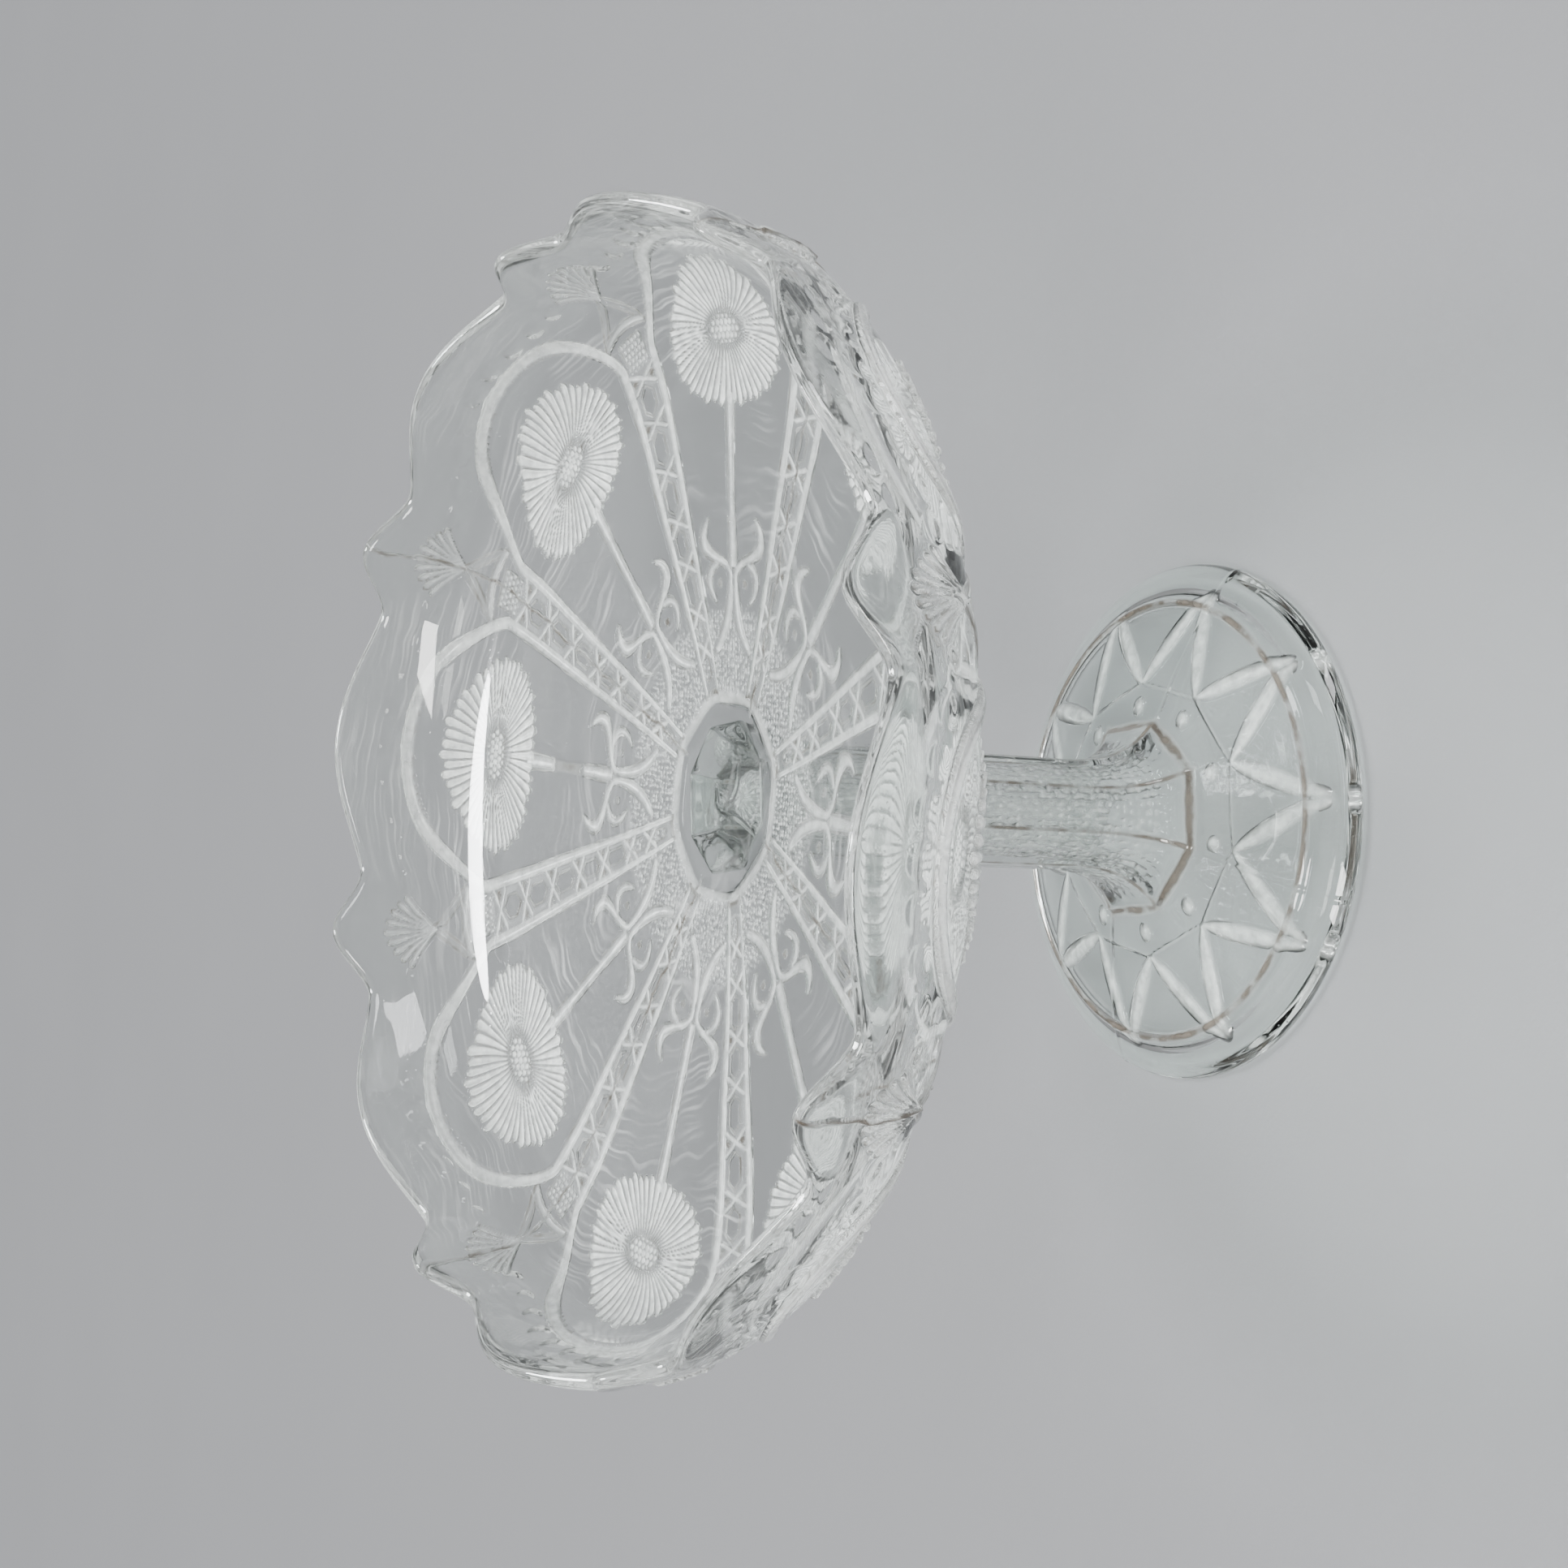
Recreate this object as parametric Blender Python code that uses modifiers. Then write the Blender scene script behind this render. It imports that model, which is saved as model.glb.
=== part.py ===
"""Footed pressed-glass cake stand: a scalloped eight-fold dish on an octagonal pedestal.

Metres, +Z up.  The origin is the centre of the foot's resting ring.  The dish and the
pedestal are two pressings, each with its own mould, joined hot under the dish's centre.
"""

from math import atan2, cos, hypot, pi, radians, sin, tau

import bmesh
import bpy

# ---- driving dimensions (metres and degrees) ----
DISH_FOLD = 8                 # ribs, small rim bumps, wide rim lobes and daisies
DISH_STEPS = 144              # 2.5 degrees a step, so a rib, a notch and a lobe all fall on one
RIB_AZIMUTH = 22.5            # one rib; the others follow every 45 degrees
RIB_HALF_ANGLE = 5.0          # a rib is a wedge, so it tapers with the radius
RIB_HEIGHT = 0.0010
RIB_IN, RIB_OUT = 0.0240, 0.0860

FLOOR_TOP = 0.1163            # inside of the dish at the centre
FLOOR_UNDER = 0.1114          # underside of the dish at the centre
BOSS_R = 0.0191               # corner radius of the octagonal boss under the centre
BOSS_Z = 0.1099               # face of the boss that the pedestal is joined to

RIM_BUMP_Z = 0.1529           # top of the small bump over each rib
RIM_LOBE_Z = 0.1527           # top of the wide lobe over each daisy
RIM_NOTCH_Z = 0.1456          # bottom of the notch between them
NOTCH_ANGLE = 7.5             # from a rib to the notch each side of it
SCALLOP_FROM_Z = 0.1285       # the wall follows the rim's wave above this height

DAISY_R = 0.0902              # centre of a daisy pad
DAISY_RADIAL = 0.0146         # half its extent along the radius
DAISY_ACROSS = 0.0215         # half its extent round the dish
DAISY_HEIGHT = 0.0011

JOIN_GAP = 0.0003             # between the boss and the top of the pedestal
STEM_STEPS = 80               # 4.5 degrees a step: a multiple of the 8 facets and of the 10-point foot
STEM_CORNER = -10.8           # azimuth of one stem corner, which a mould seam also follows
STEM_R = 0.0121               # corner radius of the octagonal stem
FLARE_R = 0.0158              # corner radius at the top of the stem
COLLAR_R, COLLAR_Z = 0.0206, 0.0160
FOOT_R = 0.0550
RING_R, RING_Z = 0.0464, 0.0078   # ridge between the foot's dome and its edge band
HOLLOW_TOP_Z = 0.1010         # closed end of the hollow inside the stem

GLASS = (0.86, 0.88, 0.86, 1.0)


def clear_scene():
    for obj in list(bpy.data.objects):
        bpy.data.objects.remove(obj, do_unlink=True)


def glass_material(name):
    material = bpy.data.materials.new(name)
    material.use_nodes = True
    shader = material.node_tree.nodes["Principled BSDF"]
    shader.inputs["Base Color"].default_value = GLASS
    shader.inputs["Roughness"].default_value = 0.05
    shader.inputs["Metallic"].default_value = 0.0
    shader.inputs["IOR"].default_value = 1.52
    shader.inputs["Transmission Weight"].default_value = 1.0
    return material


def turned(name, profile, steps, start, collection):
    """A body turned from an (r, z) profile by a Screw modifier, as a plain mesh object."""
    outline = bpy.data.meshes.new(name + "_profile")
    verts = [(r * cos(start), r * sin(start), z) for r, z in profile]
    outline.from_pydata(verts, [(i, i + 1) for i in range(len(verts) - 1)], [])
    guide = bpy.data.objects.new(name + "_profile", outline)
    collection.objects.link(guide)
    screw = guide.modifiers.new("turn", "SCREW")
    screw.steps = screw.render_steps = steps
    screw.use_merge_vertices = True
    screw.merge_threshold = 0.00005
    screw.use_normal_calculate = False
    graph = bpy.context.evaluated_depsgraph_get()
    mesh = bpy.data.meshes.new_from_object(guide.evaluated_get(graph))
    bpy.data.objects.remove(guide, do_unlink=True)
    obj = bpy.data.objects.new(name, mesh)
    collection.objects.link(obj)
    return obj


def ring_of(profile, r, z):
    """Index of the profile point that a turned vertex came from."""
    return min(range(len(profile)), key=lambda i: hypot(profile[i][0] - r, profile[i][1] - z))


def profile_normals(profile):
    """Outward unit normals of a profile that runs down its outer side."""
    normals = []
    for i in range(len(profile)):
        a, b = profile[max(i - 1, 0)], profile[min(i + 1, len(profile) - 1)]
        tr, tz = b[0] - a[0], b[1] - a[1]
        length = hypot(tr, tz)
        normals.append((-tz / length, tr / length))
    return normals


def from_multiple(azimuth, first, spacing):
    """Signed angle in degrees from the nearest of first, first + spacing, ..."""
    return (azimuth - first + spacing / 2) % spacing - spacing / 2


def octagon_share(azimuth, corner):
    """Radius of an octagon at an azimuth, as a share of its corner radius."""
    off = from_multiple(azimuth, corner + 22.5, 45)
    return cos(pi / 8) / cos(radians(off))


def rim_height(azimuth):
    """Height of the rim: a narrow bump over a rib, a notch each side, then a wide lobe."""
    off = abs(from_multiple(azimuth, RIB_AZIMUTH, 360 / DISH_FOLD))
    if off <= NOTCH_ANGLE:
        share = 0.5 + 0.5 * cos(pi * off / NOTCH_ANGLE)
        return RIM_NOTCH_Z + (RIM_BUMP_Z - RIM_NOTCH_Z) * share
    half = 180 / DISH_FOLD - NOTCH_ANGLE
    share = sin(pi / 2 * (off - NOTCH_ANGLE) / half) ** 1.3
    return RIM_NOTCH_Z + (RIM_LOBE_Z - RIM_NOTCH_Z) * share


def dish_profile():
    """From the axis over the inside, the wall and the rim, then down and in along the underside."""
    inside = [
        (0.0, FLOOR_TOP), (0.0187, FLOOR_TOP), (0.0385, FLOOR_TOP + 0.0018),
        (0.0605, FLOOR_TOP + 0.0046), (0.0800, FLOOR_TOP + 0.0072), (0.0920, FLOOR_TOP + 0.0103),
        (0.0985, 0.1305), (0.1026, 0.1360), (0.1050, 0.1420), (0.1064, 0.1480),
    ]
    rim = [(0.1069, 0.1512), (0.1075, 0.1525), (0.1087, 0.1531), (0.1099, 0.1525), (0.1105, 0.1510)]
    outside = [
        (0.1100, 0.1440), (0.1089, 0.1370), (0.1068, 0.1298), (0.1034, 0.1254), (0.0978, 0.1223),
        (0.0902, 0.1200), (0.0829, 0.1185), (0.0756, 0.1175), (0.0605, 0.1158), (0.0420, 0.1136),
        (0.0260, 0.1120), (0.0200, FLOOR_UNDER), (BOSS_R, BOSS_Z), (0.0, BOSS_Z),
    ]
    return inside + rim + outside, len(inside) + len(rim)


def make_dish(collection):
    profile, first_outside = dish_profile()
    dish = turned("dish", profile, DISH_STEPS, 0.0, collection)
    normals = profile_normals(profile)
    top = max(z for _, z in profile)
    for vertex in dish.data.vertices:
        x, y, z = vertex.co
        r, azimuth = hypot(x, y), atan2(y, x) * 360 / tau
        if r < 1e-5:
            continue
        ring = ring_of(profile, r, z)
        off = from_multiple(azimuth, RIB_AZIMUTH, 360 / DISH_FOLD)
        if ring >= first_outside:
            raised = 0.0
            if abs(off) <= RIB_HALF_ANGLE + 0.01 and RIB_IN < r < RIB_OUT:
                raised = RIB_HEIGHT
            across = radians(from_multiple(azimuth, RIB_AZIMUTH + 180 / DISH_FOLD, 360 / DISH_FOLD))
            along, beside = r * cos(across) - DAISY_R, r * sin(across)
            inside = 1 - (along / DAISY_RADIAL) ** 2 - (beside / DAISY_ACROSS) ** 2
            if inside > 0:
                raised = DAISY_HEIGHT * min(1.0, 1.6 * inside)
            nr, nz = normals[ring]
            r += raised * nr
            z += raised * nz
            if ring >= len(profile) - 3:
                r *= octagon_share(azimuth, RIB_AZIMUTH)
        if z > SCALLOP_FROM_Z:
            share = (z - SCALLOP_FROM_Z) / (top - SCALLOP_FROM_Z)
            z += share ** 1.5 * (rim_height(azimuth) - top)
        turn = radians(azimuth)
        vertex.co = (r * cos(turn), r * sin(turn), z)
    return dish


def pedestal_profile():
    """From the axis over the top, down the stem and the foot, then up inside the hollow."""
    top = BOSS_Z - JOIN_GAP
    return [
        (0.0, top), (FLARE_R, top), (FLARE_R - 0.0006, top - 0.0022), (STEM_R + 0.0007, top - 0.0080),
        (STEM_R, top - 0.0125), (STEM_R, 0.0700), (STEM_R, 0.0319), (0.0134, 0.0248),
        (0.0163, 0.0196), (COLLAR_R, COLLAR_Z), (0.0222, 0.0150), (0.0290, 0.0131),
        (0.0380, 0.0107), (RING_R, RING_Z), (0.0505, 0.0059), (0.0536, 0.0040), (FOOT_R, 0.0021),
        (0.0547, 0.0006), (0.0540, 0.0), (0.0492, 0.0), (0.0476, 0.0014), (0.0455, 0.0044),
        (0.0380, 0.0070), (0.0290, 0.0094), (0.0200, 0.0114), (0.0125, 0.0142), (0.0090, 0.0200),
        (0.0078, 0.0290), (0.0068, 0.0600), (0.0056, 0.0960), (0.0035, 0.1000), (0.0, HOLLOW_TOP_Z),
    ]


def make_pedestal(collection):
    profile = pedestal_profile()
    pedestal = turned("pedestal", profile, STEM_STEPS, radians(STEM_CORNER), collection)
    collar = profile.index((COLLAR_R, COLLAR_Z))
    for vertex in pedestal.data.vertices:
        x, y, z = vertex.co
        r = hypot(x, y)
        if r < 1e-5:
            continue
        azimuth = atan2(y, x) * 360 / tau
        ring = ring_of(profile, r, z)
        # Octagonal from the top down to the collar; round two rings further out.
        octagonal = max(0.0, min(1.0, 1 - 0.5 * (ring - collar)))
        if ring > collar + 2:
            octagonal = 0.0
        share = 1 + octagonal * (octagon_share(azimuth, STEM_CORNER) - 1)
        vertex.co = (x * share, y * share, z)
    return pedestal


def finish(obj, material):
    mesh = obj.data
    work = bmesh.new()
    work.from_mesh(mesh)
    bmesh.ops.recalc_face_normals(work, faces=work.faces)
    work.to_mesh(mesh)
    work.free()
    mesh.materials.append(material)
    mesh.shade_smooth()
    mesh.set_sharp_from_angle(angle=radians(30))


def main():
    clear_scene()
    stand = bpy.data.collections.new("cake_stand")
    bpy.context.scene.collection.children.link(stand)
    for make, name in ((make_dish, "dish_glass"), (make_pedestal, "pedestal_glass")):
        finish(make(stand), glass_material(name))


main()
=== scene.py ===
"""The looks of a footed pressed-glass cake stand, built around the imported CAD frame.

Lengths are in pattern units: the dish's rim has a radius of RIM_R units, and the frame says
how many metres that is (about 1.1 mm a unit).  Two glass pieces replace the two CAD nodes:
the dish, smooth inside and pressed with a daisy pattern underneath, and the pedestal, an
octagonal stem on a round foot with a ten-point star pressed under it.
"""

from math import pi, radians, tau

import bpy
import numpy as np
from mathutils import Matrix, Vector


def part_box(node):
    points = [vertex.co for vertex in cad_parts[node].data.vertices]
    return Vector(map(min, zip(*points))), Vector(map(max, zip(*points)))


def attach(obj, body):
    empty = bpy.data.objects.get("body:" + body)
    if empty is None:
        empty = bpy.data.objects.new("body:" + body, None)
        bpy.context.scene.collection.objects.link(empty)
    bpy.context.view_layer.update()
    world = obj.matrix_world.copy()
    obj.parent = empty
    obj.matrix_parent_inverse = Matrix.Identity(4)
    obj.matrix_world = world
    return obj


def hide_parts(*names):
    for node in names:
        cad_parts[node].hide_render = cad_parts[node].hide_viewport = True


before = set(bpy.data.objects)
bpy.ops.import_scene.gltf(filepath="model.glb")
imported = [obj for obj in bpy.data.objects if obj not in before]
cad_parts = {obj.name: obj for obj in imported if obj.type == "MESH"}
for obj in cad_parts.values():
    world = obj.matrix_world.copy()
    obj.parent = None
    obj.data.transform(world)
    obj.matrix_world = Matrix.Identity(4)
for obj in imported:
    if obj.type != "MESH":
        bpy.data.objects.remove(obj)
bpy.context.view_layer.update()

# ---- scale and layout ----
RIM_R = 100.45
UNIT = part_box("dish")[1].x / RIM_R      # metres in a pattern unit
FOLD = 8                                # ribs and daisies round the dish
SECTOR = 360 / FOLD
RIB_AZIMUTH = 22.5
DAISY_AZIMUTH = RIB_AZIMUTH + SECTOR / 2
DISH_SEAM, SEAM_SPACING = 67.5, 90      # four mould seams

# ---- the dish's section, (r, z) from the centre outward ----
DISH_INSIDE = [
    (0, 105.7), (17.0, 105.7), (35.0, 107.3), (55.0, 109.9), (72.7, 112.3), (83.6, 115.1),
    (89.5, 118.6), (93.3, 123.6), (95.5, 129.1), (96.7, 134.5), (97.2, 137.4), (97.8, 138.7),
    (98.8, 139.15),
]
DISH_OUTSIDE = [
    (0, 99.9), (15.4, 99.9), (16.7, 100.15), (17.7, 100.7), (18.6, 101.2), (23.6, 101.8),
    (38.2, 103.3), (55.0, 105.3), (68.7, 106.8), (75.4, 107.7), (82.0, 109.1), (88.9, 111.2),
    (94.0, 114.0), (97.1, 118.0), (99.0, 124.5), (100.0, 130.9), (100.3, 137.2), (99.9, 138.6),
    (98.8, 139.15),
]
SCALLOP_FROM = 116.8                    # the wall follows the rim's wave above this height
RIM_TOP = 139.2
RIM_BUMP, RIM_LOBE, RIM_NOTCH = 138.9, 138.7, 132.4
NOTCH_ANGLE = 7.5
RELIEF_DATUM_R = 23.6                   # v equals the radius here, just outside the boss
FLOOR_SAMPLES = 200                     # the first samples of the outer path, where r only grows
BOSS_CORNERS = (18.0, 21.0)             # the boss's octagon turns round between these radii
BOSS_CRISP, BOSS_SWELL = 18, 1.05
RELIEF_FADE = 4                         # relief fades over this length below the rim
BEND_FROM, BEND_TO, BEND_STRETCH = 88.0, 106.0, 4.4   # the outer skin is longer round the bend

# ---- relief pressed into the dish's underside (v runs out along the skin) ----
RIB_HALF, RIB_SPREAD, RIB_FROM = 2.8, 0.073, 24.0
RAIL_HEIGHT, LATTICE_HEIGHT, PLATEAU = 1.0, 0.9, 0.55
CROSSINGS = (20.6, 27.6, 34.4, 43.6, 52.0, 61.6, 71.4, 80.4)
ARCH_V, ARCH_ACROSS, ARCH_RISE, ARCH_HALF = 84.0, 27.1, 17.6, 1.35
PAD_FROM, PAD_TO, PAD_HALF = 82.3, 89.3, 4.2
FAN_V, FAN_LENGTH, FAN_STEP, FAN_SIDE = 96.2, 10.5, 13.0, 4
DAISY_V, DAISY_ACROSS, DAISY_RADIAL = 82.3, 19.9, 13.5
BUTTON_ACROSS, BUTTON_RADIAL = 5.4, 2.8
PETALS = 52
STALK_FROM, STALK_TO = 40.2, 71.0
STALK_AT = (40, 45, 50, 56, 61, 66, 71)
STALK_WIDTHS = (3.2, 3.0, 2.5, 2.2, 2.7, 3.2, 3.4)
STALK_HEIGHT, FAN_HEIGHT, MARK_HEIGHT = 0.78, 0.75, 0.35
WORN_STALK, WORN_FROM, WORN_TO = 90, 50.8, 61.0       # one stalk is broken off between these
RAIL_AT = (18, 24, 40, 60, 84)
RAIL_WIDTHS = (0.9, 1.0, 1.5, 2.1, 2.7)
PETAL_GROOVE, PETAL_HEIGHT, PETAL_GROWTH = 0.12, 0.42, 0.55
GRAIN_PITCH, GRAIN_SEED, GRAIN_HEIGHT = 0.95, 3.0, 0.25
PRINT_ACROSS, PRINT_ALONG, PRINT_DEPTH = 3.1, 2.4, 0.5
DISH_SEAM_HALF, DISH_SEAM_HEIGHT = 0.42, 0.5
# How the relief marks the glass: crests are frosted, the foot of each slope is darkened with painted
# shade, and the mould seams carry a real dark line.
FROST_FROM, FROST_TO, LINE_FROST, WALL_FROST = 0.42, 0.88, 0.74, 0.07
SLOPE_SHADE, SEAM_DIRT = 0.6, 0.8
BOSS_EDGE_R, BOSS_EDGE_HALF, BOSS_EDGE_FROST = 18.3, 1.2, 0.7
THUMBPRINTS = ((0, 105.8), (7.2, 105.4), (14.5, 103.8), (21.5, 102.3), (28.5, 101.5))
# Right half of the fleur at the stalk's foot, x across and y along the stalk, with half widths.
FLEUR_STEM = [
    (5.8, 26.0, 0.9), (3.7, 28.4, 1.2), (2.2, 31.0, 1.3), (1.2, 34.3, 1.2), (0.9, 37.3, 0.9),
    (1.1, 39.7, 0.8), (3.0, 41.2, 0.8), (5.5, 41.9, 0.9), (8.0, 42.7, 1.1), (9.9, 43.8, 1.45),
    (10.4, 45.4, 1.3), (9.9, 47.2, 0.8), (8.7, 48.7, 0.25),
]
FLEUR_CURL = [
    (5.6, 41.0, 0.6), (7.3, 40.3, 0.95), (8.4, 39.0, 1.0), (8.4, 37.2, 0.9), (7.2, 35.4, 0.6),
    (6.1, 34.4, 0.25),
]
FLEUR_EYE = (4.5, 37.7)
# Where the gather of hot glass was cut off: two curved marks at the centre, (x, y, half width).
PULL_MARKS = (
    [(1.0, 3.6, 0.3), (-1.6, 2.6, 0.7), (-2.6, -0.5, 0.6), (-3.2, -5.0, 0.5), (-5.2, -10.8, 0.2)],
    [(-2.4, 1.5, 0.3), (-0.8, -1.6, 0.45), (2.6, -3.6, 0.4), (6.2, -3.4, 0.2)],
)

# ---- the pedestal ----
PEDESTAL_CORNER = -10.8                 # a stem corner; every second one carries a seam
JOIN_LAP = 0.2                          # the top runs into the boss, as one fused joint
HOLLOW_TOP = 91.8
PEDESTAL_TOP = [(0, 99.9), (11.0, 99.9), (13.7, 99.9), (14.3, 99.6), (13.9, 97.9), (12.4, 94.0)]
PEDESTAL_STEM = [(11.2, 90.0), (11.0, 87.5), (11.0, 78.0), (11.0, 55.0), (11.0, 36.0), (11.0, 29.5)]
PEDESTAL_FLARE = [(12.2, 22.6), (14.8, 17.8), (17.9, 15.1), (18.7, 14.7), (19.0, 14.2)]
FOOT_TOP = [
    (19.4, 13.6), (21.0, 13.2), (26.4, 11.9), (34.5, 9.7), (40.4, 7.7), (41.3, 7.45), (42.0, 7.85),
    (42.8, 7.3), (43.4, 6.5), (45.9, 5.4), (48.7, 3.6), (49.9, 2.0), (49.7, 0.6), (49.1, 0.12),
]
FOOT_UNDER = [
    (47.0, 0.08), (44.9, 0.15), (43.3, 1.3), (41.4, 4.0), (34.5, 6.4), (26.4, 8.5), (18.2, 10.4),
    (11.4, 12.9),
]
HOLLOW = [(8.2, 18.2), (7.1, 26.4), (6.2, 54.5), (5.1, 87.3), (3.2, 90.9), (0, HOLLOW_TOP)]
RING_BEAD_R = 42.1
STAR_POINTS, STAR_TIP = 10, (44.6, -6.3)
STAR_INNER = (26.0, 11.7)
STAR_HALF, STAR_DEPTH = 2.0, 1.1
DIMPLE_R, DIMPLE_HALF, DIMPLE_DEPTH = 21.5, 1.9, 0.8
BASE_EDGE_DEPTH, BASE_EDGE_HALF = 0.4, 0.6            # fine lines that join the star's inner corners
# The last of these darkens the stem's eight corners with painted shade.
STEM_CRISP, FACET_DIP, CORNER_SHADE = 60, 0.22, 0.9
CORNER_HALF = 2.6                       # degrees of painted shade each side of a stem corner
SEAM_HEIGHT, SEAM_HALF = 0.2, 0.5

# ---- how finely the skins are divided ----
FINE, MEDIUM, PLAIN = 1920, 960, 480    # points in a ring
FOOT_STEPS, STEM_FINE, HOLLOW_STEPS = 720, 360, 180
# Rings along the dish's underside: first length, last length and spacing.
BOSS_RINGS = (0.8, 14.9, 0.4)
FLOOR_RINGS = (15.2, 60.0, 0.32)
DAISY_RINGS = (60.3, 100.5, 0.30)
WALL_RINGS = (100.8, 121.5, 0.45)
RIM_FROM, RIM_MARGIN, RIM_RINGS = 122.0, 0.1, 16
# Rings down the dish's inside.
LIP_LENGTH, LIP_RINGS = 5, 12
INNER_WALL_TO, INNER_WALL_RINGS = 78, 26
INNER_FLOOR_RINGS = (76.5, 2, -2.0)
# Rings of the pedestal, band by band.
TOP_RINGS, STEM_RINGS, COLLAR_RINGS, FOOT_RINGS, EDGE_RINGS, MOUTH_RINGS = 60, 24, 44, 76, 14, 14
STAR_SPACING, HOLLOW_SPACING = 0.36, 0.8


# ---------------------------------------------------------------- numbers and curves
def smooth(low, high, x):
    """0 before low and 1 after high, with an even slope between."""
    t = np.clip((x - low) / (high - low), 0, 1)
    return t * t * (3 - 2 * t)


def ridge(distance, half, power=0.6):
    """Section of a rounded ridge: 1 on its line, 0 from half away."""
    return np.clip(1 - (distance / half) ** 2, 0, None) ** power


def from_multiple(azimuth, first, spacing):
    """Signed degrees from the nearest of first, first + spacing, ..."""
    return (azimuth - first + spacing / 2) % spacing - spacing / 2


def curve_through(points, per_span=24):
    """A dense centripetal Catmull-Rom curve through points of any dimension."""
    p = np.array(points, float)
    p = np.vstack([2 * p[0] - p[1], p, 2 * p[-1] - p[-2]])
    out = []
    for i in range(1, len(p) - 2):
        a, b, c, d = p[i - 1:i + 3]
        t1 = np.linalg.norm(b - a) ** 0.5
        t2 = t1 + np.linalg.norm(c - b) ** 0.5
        t3 = t2 + np.linalg.norm(d - c) ** 0.5
        t = np.linspace(t1, t2, per_span, endpoint=False)[:, None]
        ab = a + (b - a) * t / t1
        bc = b + (c - b) * (t - t1) / (t2 - t1)
        cd = c + (d - c) * (t - t2) / (t3 - t2)
        abc = ab + (bc - ab) * t / t2
        bcd = bc + (cd - bc) * (t - t1) / (t3 - t1)
        out.append(abc + (bcd - abc) * (t - t1) / (t2 - t1))
    return np.vstack(out + [p[-2:-1]])


def path_lengths(path):
    steps = np.hypot(*np.diff(path[:, :2], axis=0).T)
    return np.concatenate([[0], np.cumsum(steps)])


def at_lengths(path, lengths, wanted):
    """Points and unit tangents of a curve at the wanted lengths along it."""
    where = np.column_stack([np.interp(wanted, lengths, path[:, k]) for k in (0, 1)])
    ahead = np.column_stack([np.interp(wanted + 0.15, lengths, path[:, k]) for k in (0, 1)])
    behind = np.column_stack([np.interp(wanted - 0.15, lengths, path[:, k]) for k in (0, 1)])
    along = ahead - behind
    return where, along / np.linalg.norm(along, axis=1)[:, None]


def grains(x, y, pitch, seed):
    """Rounded grains of unequal size, one in each square of a jittered grid."""
    tall = np.zeros_like(x)
    column, row = np.floor(x / pitch), np.floor(y / pitch)
    for i in (-1, 0, 1):
        for j in (-1, 0, 1):
            a, b = column + i, row + j
            one = np.modf(np.abs(np.sin(a * 12.9898 + b * 78.233 + seed) * 43758.5453))[0]
            two = np.modf(np.abs(np.sin(a * 39.346 + b * 11.135 + seed) * 24634.6345))[0]
            away = np.hypot(x / pitch - a - 0.2 - 0.6 * one, y / pitch - b - 0.2 - 0.6 * two)
            tall = np.maximum(tall, (0.4 + 0.6 * two) * ridge(away, 0.34 + 0.2 * one))
    return tall


def beads(x, y, pitch):
    """Even rows of round beads."""
    row = pitch * 3 ** 0.5
    tall = np.zeros_like(x)
    for shift_x, shift_y in ((0, 0), (pitch / 2, row / 2)):
        dx = (x - shift_x + pitch / 2) % pitch - pitch / 2
        dy = (y - shift_y + row / 2) % row - row / 2
        tall = np.maximum(tall, ridge(np.hypot(dx, dy), 0.5 * pitch, 0.5))
    return tall


def stroke(x, y, points):
    """A rounded stroke of changing width along a curve of (x, y, half width)."""
    path = curve_through(points, 7)
    tall = np.zeros_like(x)
    for (ax, ay, aw), (bx, by, bw) in zip(path, path[1:]):
        span = np.hypot(bx - ax, by - ay)
        t = np.clip(((x - ax) * (bx - ax) + (y - ay) * (by - ay)) / span ** 2, 0, 1)
        away = np.hypot(x - ax - t * (bx - ax), y - ay - t * (by - ay))
        tall = np.maximum(tall, ridge(away, aw + t * (bw - aw), 0.5))
    return tall


# ---------------------------------------------------------------- the dish's relief
def rib_relief(u, v):
    """Two rails with a crossed lattice between them; hexagonal pits lie between crossings."""
    side = np.abs(u)
    half = RIB_HALF + RIB_SPREAD * (v - RIB_FROM)
    rail = np.interp(v, RAIL_AT, RAIL_WIDTHS)
    inner = half - rail
    tall = RAIL_HEIGHT * ridge(side - (half - rail / 2), 0.55 * rail, 0.45)
    lattice = PLATEAU * smooth(half, half - 0.6, side)
    slope = 1.9 / inner
    for low, high in zip(CROSSINGS, CROSSINGS[1:]):
        middle, reach = (low + high) / 2, 0.34 * (high - low)
        hexagon = np.maximum(side - 0.58 * inner, (np.abs(v - middle) + 0.7 * side - reach) / 1.2)
        lattice = lattice * (1 - smooth(0.3, -0.35, hexagon))
    for crossing in CROSSINGS[1:]:
        notch = np.hypot((side - 0.72 * inner) / (0.3 * inner), (v - crossing) / 0.85)
        lattice = lattice * (1 - 0.75 * smooth(1.15, 0.35, notch))
        off = np.abs(np.abs(v - crossing) - slope * side) / np.hypot(1, slope)
        arm = ridge(off, 0.62) * (np.abs(v - crossing) < 2.1) * (side < inner + 0.3)
        lattice = np.maximum(lattice, LATTICE_HEIGHT * arm)
    tall = np.maximum(tall, lattice * (side < half))
    return tall * (v < ARCH_V) * smooth(18.2, 20.5, v)


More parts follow.
